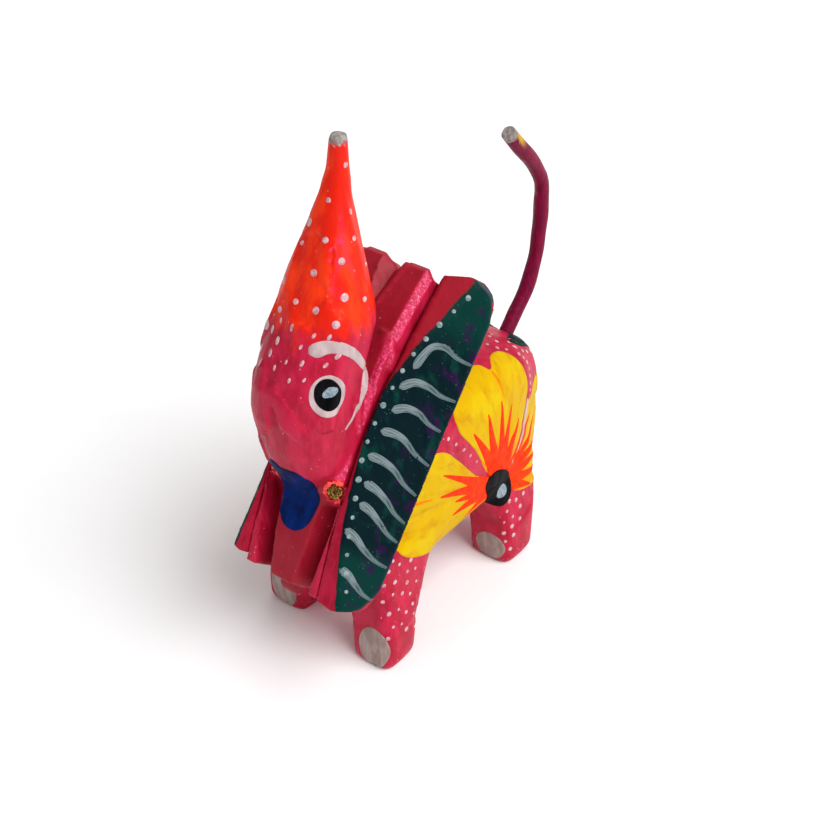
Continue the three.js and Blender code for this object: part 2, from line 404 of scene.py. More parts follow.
def buildDotTree():
    # a drop on every point, stood along the point's own direction
    tree = bpy.data.node_groups.new("paintDots", "GeometryNodeTree")
    for name, kind in (
        ("Places", "Geometry"), ("Drop", "Object"), ("Radius", "Float"), ("Thickness", "Float"),
        ("Variation", "Float"), ("Stretch", "Float"), ("Seed", "Int"), ("Material", "Material"),
    ):
        tree.interface.new_socket(name, in_out="INPUT", socket_type="NodeSocket" + kind)
    tree.interface.new_socket("Dots", in_out="OUTPUT", socket_type="NodeSocketGeometry")
    given = tree.nodes.new("NodeGroupInput").outputs
    dots = add(tree, "GeometryNodeMeshToPoints", {"Mesh": given["Places"]})
    outwards = add(tree, "GeometryNodeInputNamedAttribute", {"Name": "outwards"}, data_type="FLOAT_VECTOR")
    direction = {"Vector": outwards.outputs["Attribute"]}
    upright = add(tree, "FunctionNodeAlignRotationToVector", direction, axis="Z")
    source = add(tree, "GeometryNodeObjectInfo", {"Object": given["Drop"]})
    size = add(
        tree,
        "FunctionNodeRandomValue",
        {
            "Min": calc(tree, "SUBTRACT", 1, given["Variation"]),
            "Max": calc(tree, "ADD", 1, given["Variation"]),
            "Seed": given["Seed"],
        },
        data_type="FLOAT",
    )
    wide = times(tree, size.outputs["Value"], given["Radius"])
    tall = times(tree, wide, given["Stretch"])
    scale = add(tree, "ShaderNodeCombineXYZ", {"X": wide, "Y": tall, "Z": given["Thickness"]})
    instances = add(
        tree,
        "GeometryNodeInstanceOnPoints",
        {
            "Points": dots.outputs["Points"],
            "Instance": source.outputs["Geometry"],
            "Rotation": upright.outputs["Rotation"],
            "Scale": scale.outputs["Vector"],
        },
    )
    realize = add(tree, "GeometryNodeRealizeInstances", {"Geometry": instances.outputs["Instances"]})
    paint = {"Geometry": realize.outputs["Geometry"], "Material": given["Material"]}
    paint = add(tree, "GeometryNodeSetMaterial", paint)
    add(tree, "NodeGroupOutput", {"Dots": paint.outputs["Geometry"]})
    return tree


dotTree = buildDotTree()
dropSource = linked("paintDropSource", domeMesh())
dropSource.hide_render = True


def paintDots(name, places, dots, material):
    # places: (point, normal) pairs on the surface
    mesh = bpy.data.meshes.new(name)
    mesh.from_pydata([tuple(place) for place, _ in places], [], [])
    outwards = mesh.attributes.new("outwards", "FLOAT_VECTOR", "POINT")
    for item, (_, normal) in zip(outwards.data, places):
        item.vector = normal
    made = linked(name, mesh)
    modifier = made.modifiers.new("dots", "NODES")
    modifier.node_group = dotTree
    values = {
        "Drop": dropSource,
        "Radius": dots["radius"] * mm,
        "Thickness": dots["thickness"] * mm,
        "Variation": dots["variation"],
        "Stretch": dots.get("stretch", 1.0),
        "Seed": dots["seed"],
        "Material": material,
    }
    for item in dotTree.interface.items_tree:
        if item.in_out == "INPUT" and item.name in values:
            modifier[item.identifier] = values[item.name]
    applied(made)
    shadeSmooth(made.data)
    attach(made, "body")


def scattered(surfaceMesh, inside, apart, seed, limit):
    # points on a mesh, at least so far apart, where inside(point, normal) holds
    rng = random.Random(seed)
    order = list(range(len(surfaceMesh.vertices)))
    rng.shuffle(order)
    kept = []
    for index in order:
        vertex = surfaceMesh.vertices[index]
        if not inside(vertex.co, vertex.normal):
            continue
        if all((vertex.co - other).length > apart * mm for other, _ in kept):
            kept.append((vertex.co.copy(), vertex.normal.copy()))
            if len(kept) >= limit:
                break
    return kept


def shade(red, green, blue):
    # a paint colour as mixed on screen, 0 to 255
    def linear(value):
        value /= 255
        return value / 12.92 if value <= 0.04045 else ((value + 0.055) / 1.055) ** 2.4

    return linear(red), linear(green), linear(blue), 1


def blend(tree, share, first, second):
    made = add(tree, "ShaderNodeMix", {0: share, 6: first, 7: second}, data_type="RGBA")
    return made.outputs[2]


def ramp(tree, value, low, high, bottom=0.0, top=1.0):
    inputs = {"Value": value, "From Min": low, "From Max": high, "To Min": bottom, "To Max": top}
    return add(tree, "ShaderNodeMapRange", inputs, interpolation_type="SMOOTHSTEP").outputs[0]


def along(tree, coordinates, direction, shift=0.0):
    # how far a point lies in a direction, in metres
    dot = add(tree, "ShaderNodeVectorMath", {0: coordinates, 1: direction}, operation="DOT_PRODUCT")
    return calc(tree, "ADD", dot.outputs["Value"], shift)


def leanPlace(tree, coordinates):
    # sideways, forwards and up the lean, as inHead measures them
    sideways = add(tree, "ShaderNodeSeparateXYZ", {"Vector": coordinates}).outputs["X"]
    ways = (lean["forwards"], lean["up"])
    forwards, up = (along(tree, coordinates, way, headShift.dot(way)) for way in ways)
    return calc(tree, "ABSOLUTE", sideways), forwards, up


def facing(tree, direction):
    # how squarely the surface faces a direction
    normal = add(tree, "ShaderNodeNewGeometry").outputs["Normal"]
    dot = add(tree, "ShaderNodeVectorMath", {0: normal, 1: direction}, operation="DOT_PRODUCT")
    return dot.outputs["Value"]


def mottle(tree, coordinates, scale, stretch=(1, 1, 1), detail=3.0, rough=0.55):
    place = add(tree, "ShaderNodeMapping", {"Vector": coordinates, "Scale": stretch})
    inputs = {"Vector": place.outputs[0], "Scale": scale, "Detail": detail, "Roughness": rough}
    return add(tree, "ShaderNodeTexNoise", inputs).outputs["Fac"]


def glitter(tree, coordinates, scale, share):
    # a few bright flakes: small cells, of which only some shine
    cells = add(tree, "ShaderNodeTexVoronoi", {"Vector": coordinates, "Scale": scale})
    tone = add(tree, "ShaderNodeSeparateColor", {"Color": cells.outputs["Color"]})
    chosen = ramp(tree, tone.outputs[0], 1 - share, 1.02 - share)
    return times(tree, chosen, ramp(tree, cells.outputs["Distance"], 0.42, 0.28))


relief = {
    "streaks": {"scale": 900, "stretch": (1, 1, 0.25), "detail": 4},
    "pores": {"scale": 5200, "detail": 2},
    "waves": {"scale": 260, "stretch": (1, 1, 0.5), "detail": 2},
    "shares": (0.7, 0.22, 0.6),  # of streaks, pores and waves in the bump
    "height": 0.15,
    "patchy": (-0.08, 0.1),  # how the roughness follows the streaks
    "flakeRough": 0.22,
    "flakeMetal": 0.7,
    "coatRough": 0.25,
}


def acrylic(name, mix, look):
    # acrylic paint over carved wood: mix(tree, coordinates) gives its colour and where flakes shine
    material = bpy.data.materials.new(name)
    material.use_nodes = True
    tree = material.node_tree
    tree.nodes.clear()
    coordinates = add(tree, "ShaderNodeTexCoord").outputs["Object"]
    colour, flakes = mix(tree, coordinates)
    layers = [mottle(tree, coordinates, **relief[layer]) for layer in ("streaks", "pores", "waves")]
    parts = [times(tree, layer, share) for layer, share in zip(layers, relief["shares"])]
    height = calc(tree, "ADD", calc(tree, "ADD", parts[0], parts[1]), parts[2])
    bump = {"Height": height, "Strength": look.get("relief", 0.45), "Distance": relief["height"] * mm}
    bump = add(tree, "ShaderNodeBump", bump)
    roughness = ramp(tree, layers[0], 0.3, 0.7, *(look["rough"] + change for change in relief["patchy"]))
    inputs = {
        "Base Color": colour,
        "Normal": bump.outputs[0],
        "Coat Weight": look.get("coat", 0.05),
        "Coat Roughness": relief["coatRough"],
        "Specular IOR Level": look.get("shine", 0.3),
    }
    if flakes is not None:
        inputs["Metallic"] = times(tree, flakes, relief["flakeMetal"])
        mixed = {0: flakes, 2: roughness, 3: relief["flakeRough"]}
        roughness = add(tree, "ShaderNodeMix", mixed, data_type="FLOAT").outputs[0]
    inputs["Roughness"] = roughness
    surface = add(tree, "ShaderNodeBsdfPrincipled", inputs)
    add(tree, "ShaderNodeOutputMaterial", {"Surface": surface.outputs[0]})
    return material


paints = {
    "pink": shade(192, 28, 64),
    "deepPink": shade(166, 14, 46),
    "brightPink": shade(210, 54, 92),
    # a darker pink that stands for shade, painted in the forehead's hollow and up the ears' front faces
    "shadePink": shade(142, 20, 34),
    "sheenPink": shade(228, 52, 100),
    "orange": shade(244, 54, 8),
    "deepOrange": shade(218, 26, 2),
    "teal": shade(0, 56, 48),
    "darkTeal": shade(0, 24, 30),
    "purple": shade(44, 2, 62),
    "tip": shade(158, 150, 146),
    "tipGrime": shade(128, 118, 114),
    "white": shade(196, 174, 174),
    "yellow": shade(208, 166, 0),
    "deepYellow": shade(192, 128, 0),
    "flame": shade(242, 60, 0),
    "blue": shade(0, 36, 106),
    "darkBlue": shade(0, 18, 62),
    "black": shade(2, 2, 4),
    "silver": shade(148, 164, 174),
    "magenta": shade(130, 0, 52),
    "bareWood": shade(226, 186, 104),
}


def pinkCoat(tree, coordinates):
    # two coats of pink that don't cover quite evenly
    cover = mottle(tree, coordinates, 420, (1, 1, 0.4), 5)
    fine = mottle(tree, coordinates, 1500, (1, 1, 0.2), 3)
    colour = blend(tree, ramp(tree, cover, 0.35, 0.66), paints["deepPink"], paints["pink"])
    return blend(tree, ramp(tree, fine, 0.52, 0.85, 0, 0.45), colour, paints["brightPink"])


def bodyMix(tree, coordinates):
    colour = pinkCoat(tree, coordinates)
    flakes = glitter(tree, coordinates, 3000, 0.02)
    return blend(tree, flakes, colour, shade(255, 170, 190)), flakes


headPaint = {
    # metres from where a paint starts to where it covers, or the same for how squarely a face is turned
    "ridge": {
        "across": (0.0060, 0.0066), "below": (0.0458, 0.0448),
        "above": (0.0350, 0.0362), "up": (0.0165, 0.0205),
    },
    "ridgeFacing": (0.3, 0.5),
    "ridgeShadedSide": (-0.001, 0.001, 0.25, 1),  # painted shade: the ridge's glitter is mostly left out on the right side
    "ridgeTone": shade(220, 70, 118),
    "hollowShade": {"across": (0.0064, 0.0058), "below": (0.0452, 0.0440)},
    "trunk": {"height": (0.0700, 0.0745), "forwards": (0.0452, 0.0462), "brushed": 0.009},
    # painted highlight: a pink streak on the trunk's flats that face one way
    "streak": {
        "aim": (0.86, -0.5, 0.1), "facing": (0.955, 0.992), "top": (0.0875, 0.0845), "foot": (0.0715, 0.0765),
    },
    "tip": {"height": (0.0956, 0.0961), "worn": 0.0018},
    "flakeTone": shade(255, 190, 214),
}


def allOf(tree, first, *others):
    # where all these shares hold
    for other in others:
        first = times(tree, first, other)
    return first


def tipPaint(tree, coordinates):
    # grey end-grain paint with grime, and the pattern that it wears by
    worn = mottle(tree, coordinates, 1500, (1, 1, 1), 3)
    return worn, blend(tree, ramp(tree, worn, 0.44, 0.6), paints["tipGrime"], paints["tip"])


def headMix(tree, coordinates):
    colour = pinkCoat(tree, coordinates)
    split = add(tree, "ShaderNodeSeparateXYZ", {"Vector": coordinates})
    height = split.outputs["Z"]
    across, forwards, up = leanPlace(tree, coordinates)
    # the glittery ridge along each side of the forehead, mostly left out on the right side as painted shade
    limits = headPaint["ridge"]
    ridge = allOf(
        tree,
        ramp(tree, across, *limits["across"]),
        ramp(tree, forwards, *limits["below"]),
        ramp(tree, forwards, *limits["above"]),
        ramp(tree, up, *limits["up"]),
        ramp(tree, facing(tree, lean["forwards"]), *headPaint["ridgeFacing"]),
        ramp(tree, split.outputs["X"], *headPaint["ridgeShadedSide"]),
    )
    shimmer = mottle(tree, coordinates, 2600, (1, 1, 0.7), 5, 0.85)
    foil = times(tree, ridge, ramp(tree, shimmer, 0.44, 0.58))
    colour = blend(tree, foil, colour, headPaint["ridgeTone"])
    flakes = times(tree, ridge, ramp(tree, shimmer, 0.6, 0.68))
    flakes = calc(tree, "MAXIMUM", flakes, times(tree, glitter(tree, coordinates, 2600, 0.012), 0.8))
    # painted shade: the hollow of the forehead is darkened towards a shaded pink
    limits = headPaint["hollowShade"]
    hollowShade = times(tree, ramp(tree, across, *limits["across"]), ramp(tree, forwards, *limits["below"]))
    colour = blend(tree, times(tree, hollowShade, 0.75), colour, paints["shadePink"])
    # neon orange trunk, brushed out into the pink at its lower end
    limits = headPaint["trunk"]
    brushed = mottle(tree, coordinates, 700, (1, 1, 0.12), 4)
    edge = calc(tree, "ADD", height, times(tree, brushed, limits["brushed"]))
    orange = times(tree, ramp(tree, edge, *limits["height"]), ramp(tree, forwards, *limits["forwards"]))
    tone = mottle(tree, coordinates, 300, (1, 1, 0.35), 4)
    trunk = blend(tree, ramp(tree, tone, 0.4, 0.62), paints["deepOrange"], paints["orange"])
    colour = blend(tree, orange, colour, trunk)
    # painted highlight: a pink sheen streak down one edge of the trunk, on the flats that face one way
    limits = headPaint["streak"]
    streak = allOf(
        tree,
        ramp(tree, facing(tree, limits["aim"]), *limits["facing"]),
        ramp(tree, height, *limits["top"]),
        ramp(tree, height, *limits["foot"]),
        ramp(tree, brushed, 0.3, 0.5, 0.2, 0.75),
    )
    colour = blend(tree, streak, colour, paints["sheenPink"])
    # the worn grey tip
    limits = headPaint["tip"]
    worn, grime = tipPaint(tree, coordinates)
    tip = ramp(tree, calc(tree, "ADD", height, times(tree, worn, limits["worn"])), *limits["height"])
    colour = blend(tree, tip, colour, grime)
    return blend(tree, times(tree, flakes, 0.85), colour, headPaint["flakeTone"]), flakes


earPaint = {
    "edge": 31.5,  # how far forwards the bevelled face starts, in millimetres
    "slope": (0.819, 0.574),  # the way the bevelled face looks, across and forwards
    "wander": 0.0004,
    "face": (-0.35, -0.1),
    "end": (-0.5, -0.35),
    "rim": {"facing": (0.3, 0.5), "up": (0.042, 0.045), "out": (-2.6, -2.2), "end": (-3.8, -3.2)},
    # painted shade: the ear's pink darkens towards the top
    "shadeUpwards": (0.018, 0.034, 0.15, 0.85),
    # painted light: the teal is paler towards the ear's bottom and top ends
    "paintedLightBelow": (0.0115, 0.0075),
    "paintedLightAbove": (0.044, 0.052),
    "rear": (0.0375, 0.0335),
    "flakeTone": shade(70, 130, 122),
}


def earMix(reach):
    # teal on the bevelled face and on a band along the top of the rear rim, pink on the rest
    def inwards(edge, limits):
        # millimetres from an edge, as metres
        return [(edge + limit) * mm for limit in limits]

    def mix(tree, coordinates):
        pink = pinkCoat(tree, coordinates)
        across, forwards, up = leanPlace(tree, coordinates)
        sideShare, forwardShare = earPaint["slope"]
        out = calc(tree, "ADD", times(tree, across, sideShare), times(tree, forwards, forwardShare))
        wander = mottle(tree, coordinates, 500, (1, 1, 1), 3)
        out = calc(tree, "ADD", out, times(tree, wander, earPaint["wander"]))
        face = reach * sideShare + earPaint["edge"] * forwardShare
        green = ramp(tree, out, *inwards(face, earPaint["face"]))
        green = calc(tree, "MAXIMUM", green, ramp(tree, across, *inwards(reach, earPaint["end"])))
        limits = earPaint["rim"]
        rim = allOf(
            tree,
            ramp(tree, facing(tree, lean["up"]), *limits["facing"]),
            ramp(tree, up, *limits["up"]),
            ramp(tree, out, *inwards(face, limits["out"])),
            ramp(tree, across, *inwards(reach, limits["end"])),
        )
        green = calc(tree, "MAXIMUM", green, rim)
        # painted shade: the pink front face darkens towards the top of the ear
        pink = blend(tree, ramp(tree, up, *earPaint["shadeUpwards"]), pink, paints["shadePink"])
        # painted light: the teal is paler near the ear's top and bottom ends; random patches of the coat are
        # paler too
        ends = (ramp(tree, up, *earPaint[part]) for part in ("paintedLightBelow", "paintedLightAbove"))
        cover = mottle(tree, coordinates, 380, (1, 1, 0.5), 5)
        light = times(tree, calc(tree, "MAXIMUM", *ends), 0.7)
        light = calc(tree, "MAXIMUM", light, ramp(tree, cover, 0.5, 0.72))
        teal = blend(tree, light, paints["darkTeal"], paints["teal"])
        smudge = mottle(tree, coordinates, 330, (1.4, 1.4, 0.8), 3)
        rear = times(tree, ramp(tree, forwards, *earPaint["rear"]), 0.8)
        teal = blend(tree, times(tree, ramp(tree, smudge, 0.52, 0.68), rear), teal, paints["purple"])
        flakes = allOf(tree, glitter(tree, coordinates, 3600, 0.05), green, ramp(tree, smudge, 0.35, 0.6))
        teal = blend(tree, times(tree, flakes, 0.7), teal, earPaint["flakeTone"])
        return blend(tree, green, pink, teal), flakes

    return mix


def flatPaint(first, second, scale=700, stretch=(1, 1, 0.3)):
    # one paint whose second tone shows where the brush left it thin
    def mix(tree, coordinates):
        cover = mottle(tree, coordinates, scale, stretch, 4)
        return blend(tree, ramp(tree, cover, 0.35, 0.65), first, second), None

    return mix


def brushedWhite(tree, coordinates):
    # thin white strokes that the dark ground shows through; the white itself is a grey that stands for
    # painted shade
    place = add(tree, "ShaderNodeUVMap")
    streak = mottle(tree, place.outputs[0], 9, (1, 0.25, 1), 4, 0.7)
    fade = add(tree, "ShaderNodeSeparateXYZ", {"Vector": place.outputs[0]}).outputs["Y"]
    cover = calc(tree, "SUBTRACT", ramp(tree, streak, 0.34, 0.64, 0.1, 1.0), times(tree, fade, 0.35))
    return blend(tree, cover, shade(14, 58, 60), shade(134, 146, 150)), None


def petalMix(tree, coordinates):
    # lemon patches on yellow, with deeper strokes that run out from the heart and orange close to it
    place = add(tree, "ShaderNodeUVMap").outputs[0]
    streak = mottle(tree, place, 26, (2.2, 0.16, 1), 4, 0.65)
    away = add(tree, "ShaderNodeSeparateXYZ", {"Vector": place}).outputs["Y"]
    patches = mottle(tree, coordinates, 210, (1, 1, 1), 2)
    body = blend(tree, ramp(tree, patches, 0.5, 0.66, 0, 0.5), paints["yellow"], shade(212, 188, 0))
    body = blend(tree, ramp(tree, streak, 0.46, 0.72, 0, 0.7), body, paints["deepYellow"])
    heart = calc(tree, "ADD", away, times(tree, streak, -0.35))
    return blend(tree, ramp(tree, heart, 0.22, -0.06), body, shade(252, 120, 4)), None


def woodMix(tree, coordinates):
    rings = mottle(tree, coordinates, 900, (3, 3, 0.2), 5, 0.65)
    stain = mottle(tree, coordinates, 500, (1, 1, 1), 3)
    colour = blend(tree, ramp(tree, rings, 0.35, 0.68), shade(118, 76, 32), paints["bareWood"])
    return blend(tree, ramp(tree, stain, 0.5, 0.75, 0, 0.6), colour, shade(150, 150, 70)), None


tailPaint = {
    "end": Vector((0, -0.687, 0.727)),  # the way the twig's last stretch points
    "above": Vector((0.45, 0.70, 0.55)),
    "smear": {"above": (0.0629, 0.0637), "end": (0.0355, 0.0385), "ragged": 0.0014},
    "smearTone": shade(206, 158, 30),
    "tip": (0.0404, 0.0410),
    "rubbed": shade(150, 112, 84),
}


def tailMix(tree, coordinates):
    # magenta twig with rubbed spots, a yellow smear near its end and a pale cut tip
    bark = mottle(tree, coordinates, 900, (2, 2, 0.25), 5)
    colour = blend(tree, ramp(tree, bark, 0.35, 0.7), shade(100, 2, 44), paints["magenta"])
    rubbed = mottle(tree, coordinates, 230, (1, 1, 0.5), 2)
    colour = blend(tree, ramp(tree, rubbed, 0.62, 0.69, 0, 0.6), colour, tailPaint["rubbed"])
    end = along(tree, coordinates, tailPaint["end"])
    limits = tailPaint["smear"]
    above = along(tree, coordinates, tailPaint["above"])
    above = calc(tree, "ADD", above, times(tree, bark, limits["ragged"]))
    smear = times(tree, ramp(tree, above, *limits["above"]), ramp(tree, end, *limits["end"]))
    colour = blend(tree, times(tree, smear, 0.85), colour, tailPaint["smearTone"])
    tip = ramp(tree, calc(tree, "ADD", end, times(tree, bark, 0.001)), *tailPaint["tip"])
    return blend(tree, tip, colour, tipPaint(tree, coordinates)[1]), None


satin = {"rough": 0.38, "shine": 0.16, "coat": 0.0}
matt = {"rough": 0.5, "shine": 0.05, "coat": 0.0}
sheen = {"rough": 0.42}
glossy = {"rough": 0.35}
looks = {
    "ear": {"rough": 0.38, "relief": 0.4, "coat": 0.0, "shine": 0.06},
    "twig": {"rough": 0.45, "relief": 0.4, "shine": 0.12, "coat": 0.0},
    "wood": {"rough": 0.7, "coat": 0.0, "shine": 0.25, "relief": 0.9},
    "petal": {**matt, "relief": 0.3},
}
even = (1, 1, 1)
earReach = {"leftEar": 16, "rightEar": 14.7}
mixes = {
    "body": ("pinkAcrylicBody", bodyMix, satin),
    "head": ("pinkAndOrangeAcrylic", headMix, satin),
    "leftEar": ("tealGlitterLeft", earMix(earReach["leftEar"]), looks["ear"]),
    "rightEar": ("tealGlitterRight", earMix(earReach["rightEar"]), looks["ear"]),
    "tail": ("magentaTwig", tailMix, looks["twig"]),
    "wood": ("bareCopal", woodMix, looks["wood"]),
    "white": ("whiteAcrylic", flatPaint(shade(176, 152, 154), paints["white"]), sheen),
    # the ears' white dots are painted grey, as painted shade
    "earDots": ("greyDots", flatPaint(shade(96, 122, 122), shade(144, 160, 160), 1500, even), sheen),
    "dots": ("paleDots", flatPaint(shade(184, 124, 136), shade(212, 178, 182), 1500, even), {"rough": 0.4}),
    "squiggles": ("thinWhite", brushedWhite, {"rough": 0.45}),
    "petals": ("yellowPetals", petalMix, looks["petal"]),
    "flames": ("orangeStrokes", flatPaint(paints["flame"], shade(230, 40, 0), 900, even), matt),
    "rims": ("petalRims", flatPaint(shade(232, 130, 0), shade(246, 104, 0), 900, even), matt),
    "blue": ("blueMouth", flatPaint(paints["darkBlue"], paints["blue"], 400), matt),
    "black": ("blackAcrylic", flatPaint(paints["black"], shade(12, 12, 18), 900), matt),
    "silver": ("silverGlint", flatPaint(paints["silver"], shade(104, 122, 132), 2200, even), {"rough": 0.3}),
    # white nail paint in a grey-brown tone, as painted shade
    "nails": ("greyWhiteNails", flatPaint(shade(138, 116, 110), shade(166, 146, 140), 800), sheen),
    "darkPatch": ("darkTealPatch", flatPaint(paints["darkTeal"], paints["teal"], 800, even), matt),
    "rawPaint": ("orangePinkCollar", flatPaint(shade(255, 92, 70), shade(220, 40, 60), 1800, even), glossy),
}
materials = {use: acrylic(*mix) for use, mix in mixes.items()}
print("paints mixed:", len(materials))


woodCuts = {
    "head": {
        "grain": 0.38, "soften": 2, "spacing": 6.0, "stretch": (1, 1, 3.0), "tries": 9000,
        "tilt": 0.035, "deepest": 0.5, "thinFrom": 82, "thinBelow": 33, "settle": 3, "seed": 4,
    },
    "ears": {
        "grain": 0.36, "soften": 2, "spacing": 6.0, "stretch": (1, 1, 1.6), "tries": 6000,
        "tilt": 0.02, "deepest": 0.18, "thinFrom": 100, "thinBelow": 0, "settle": 1, "seed": 7,
    },
    "body": {
        "grain": 0.5, "soften": 4, "spacing": 6.0, "stretch": (1, 1.8, 1.4), "tries": 9000,
        "tilt": 0.03, "deepest": 0.3, "thinFrom": 100, "thinBelow": 0, "blendBand": (12, 29), "bandEdge": 3,
        "ease": 30, "settle": 1, "seed": 11,
    },
}

head = carvedCopy("head", "carvedHead", woodCuts["head"])
leftEar = carvedCopy("left_ear", "carvedLeftEar", woodCuts["ears"])
rightEar = carvedCopy("right_ear", "carvedRightEar", woodCuts["ears"])
torso = carvedCopy("body", "carvedBody", woodCuts["body"])

# paint fills the hairlines: what lies within these places of a glued joint moves across it
glue = {"earFoot": (8.1, 8.6), "neck": 30.15, "fill": 0.28}

for ear, side in ((leftEar, 1), (rightEar, -1)):
    low, high = (place * mm for place in glue["earFoot"])
    for vertex in ear.data.vertices:
        if low < inHead(vertex.co)[0] * side < high:
            vertex.co.x -= side * glue["fill"] * mm
for vertex in torso.data.vertices:
    if inHead(vertex.co)[1] > glue["neck"] * mm:
        vertex.co += lean["forwards"] * glue["fill"] * mm


def dressed(piece, material, body, nodeName):
    # a carved copy takes its paint, its body and the place of its plain node
    piece.data.materials.clear()
    piece.data.materials.append(materials[material])
    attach(piece, body)
    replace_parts(piece, nodeName)
    print(piece.name, len(piece.data.polygons), "faces")


dressed(head, "head", "body", "head")
dressed(leftEar, "leftEar", "body", "left_ear")
dressed(rightEar, "rightEar", "body", "right_ear")
dressed(torso, "body", "body", "body")
pieces = {"head": head, "leftEar": leftEar, "rightEar": rightEar, "body": torso}
surfaces = {name: surfaceOf(piece) for name, piece in pieces.items()}


twig = {
    "grain": 0.24, "soften": 1, "spacing": 0,
    "knots": 0.045, "waves": (420, 900), "knotsFrom": 1.6,  # swellings, none inside the twig's hole
    "root": (0, 28, 38.8), "aim": (0, 0.68, 0.733), "seed": 3,
}

tailTwig = carvedCopy("tail", "tailTwig", twig)
tailRoot = Vector(twig["root"]) * mm
rng = random.Random(twig["seed"])
phases = [rng.uniform(0, math.tau) for _ in twig["waves"]]
tailTwig.data.update()
for vertex in tailTwig.data.vertices:
    if (vertex.co - tailRoot).dot(Vector(twig["aim"])) > twig["knotsFrom"] * mm:
        slow, quick = twig["waves"]
        swell = math.sin(vertex.co.z * slow + phases[0])
        swell += math.sin(vertex.co.z * quick + vertex.co.x * quick + phases[1])
        vertex.co += vertex.normal * swell * twig["knots"] * mm
dressed(tailTwig, "tail", "tail", "tail")


tuskBreak = {
    "radius": 1.2, "depth": 4.0, "below": 0.75, "jag": 0.75, "rimJag": 0.4, "innerJag": 0.8,
    "rings": 9, "around": 28, "seed": 5,
}
tuskMouth = {"x": 6.9, "up": 17.8, "forwards": 41.4, "turn": 30, "radius": 1.5}


def tuskPlace(side):
    # the middle of the socket's mouth, the way it points, and two directions across it
    aim = Vector((side * math.sin(math.radians(tuskMouth["turn"])), 0, 0))
    aim += lean["forwards"] * math.cos(math.radians(tuskMouth["turn"]))
    place = Vector((side * tuskMouth["x"] * mm, 0, 0)) + lean["up"] * tuskMouth["up"] * mm
    place += lean["forwards"] * tuskMouth["forwards"] * mm - headShift
    across = aim.cross(lean["up"]).normalized()
    return place, aim.normalized(), across, lean["up"]


def brokenTusk(side, name):
    # a peg snapped off below the rim: splinters of different heights
    place, aim, across, up = tuskPlace(side)
    rng = random.Random(tuskBreak["seed"] + side)
    bm = bmesh.new()
    rows = []
    for ring in range(tuskBreak["rings"] + 1):
        radius = tuskBreak["radius"] * (1 - ring / tuskBreak["rings"])
        row = []
        for step in range(tuskBreak["around"] if radius > 0 else 1):
            angle = math.tau * step / tuskBreak["around"]
            jag = rng.uniform(-tuskBreak["jag"], tuskBreak["jag"])
            rise = jag * tuskBreak["innerJag" if ring else "rimJag"] - tuskBreak["below"]
            spot = across * radius * math.cos(angle) + up * radius * math.sin(angle) + aim * rise
            row.append(bm.verts.new(place + spot * mm))
        rows.append(row)
    foot = []
    for step in range(tuskBreak["around"]):
        angle = math.tau * step / tuskBreak["around"]
        out = across * math.cos(angle) + up * math.sin(angle)
        spot = out * tuskBreak["radius"] - aim * tuskBreak["depth"]
        foot.append(bm.verts.new(place + spot * mm))
    for outer, inner in zip([foot] + rows, rows):
        joinRings(outer, inner, bm.faces.new)
    bm.faces.new(list(reversed(foot)))
    return finished(name, bm, materials["wood"], smooth=False)


collar = {
    "around": 48, "rings": 10, "thick": 0.5, "ragged": 0.34, "lobes": 5, "clear": 0.16,
    "wide": 0.75, "tall": 0.8, "lift": (-1.6, 1.2), "seed": 9,
}


def socketCollar(bm, side):
    # a ragged lip of thick paint and torn wood round the socket
    place, aim, across, up = tuskPlace(side)
    rng = random.Random(collar["seed"] + side)
    wobble = [rng.uniform(-1, 1) for _ in range(collar["around"])]
    rows = []
    for step in range(collar["around"]):
        angle = math.tau * step / collar["around"]
        out = across * math.cos(angle) + up * math.sin(angle)
        rough = collar["ragged"] * (wobble[step] + 0.6 * math.sin(angle * collar["lobes"]))
        # the lip sits on the head, whose surface isn't level round the socket
        start = place + (out * (tuskMouth["radius"] + 0.5) + aim * 6) * mm
        hit = surfaces["head"].ray_cast(start, -aim, 12 * mm)[0]
        lowest, highest = (level * mm for level in collar["lift"])
        lift = 0 if hit is None else max(min((hit - place).dot(aim), highest), lowest)
        row = []
        for turn in range(collar["rings"]):
            bend = math.tau * turn / collar["rings"]
            width = math.cos(bend) * collar["thick"] * (collar["wide"] + rough)
            height = math.sin(bend) * collar["thick"] * (collar["tall"] + rough) * mm
            spot = place + (out * (tuskMouth["radius"] + collar["clear"] + width)) * mm
            row.append(bm.verts.new(spot + aim * (lift + height)))
        rows.append(row)
    for step in range(collar["around"]):
        here = rows[step]
        ahead = rows[(step + 1) % collar["around"]]
        for turn in range(collar["rings"]):
            beside = (turn + 1) % collar["rings"]
            bm.faces.new([here[turn], ahead[turn], ahead[beside], here[beside]])


for side, word in ((1, "left"), (-1, "right")):
    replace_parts(brokenTusk(side, word + "TuskBreak"), word + "_tusk_stub")
collars = bmesh.new()
for side in (1, -1):
    socketCollar(collars, side)
finished("tuskCollars", collars, materials["rawPaint"])

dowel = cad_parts["neck_dowel"]
dowel.data.materials.clear()
dowel.data.materials.append(materials["wood"])
print("tusks and dowel done")


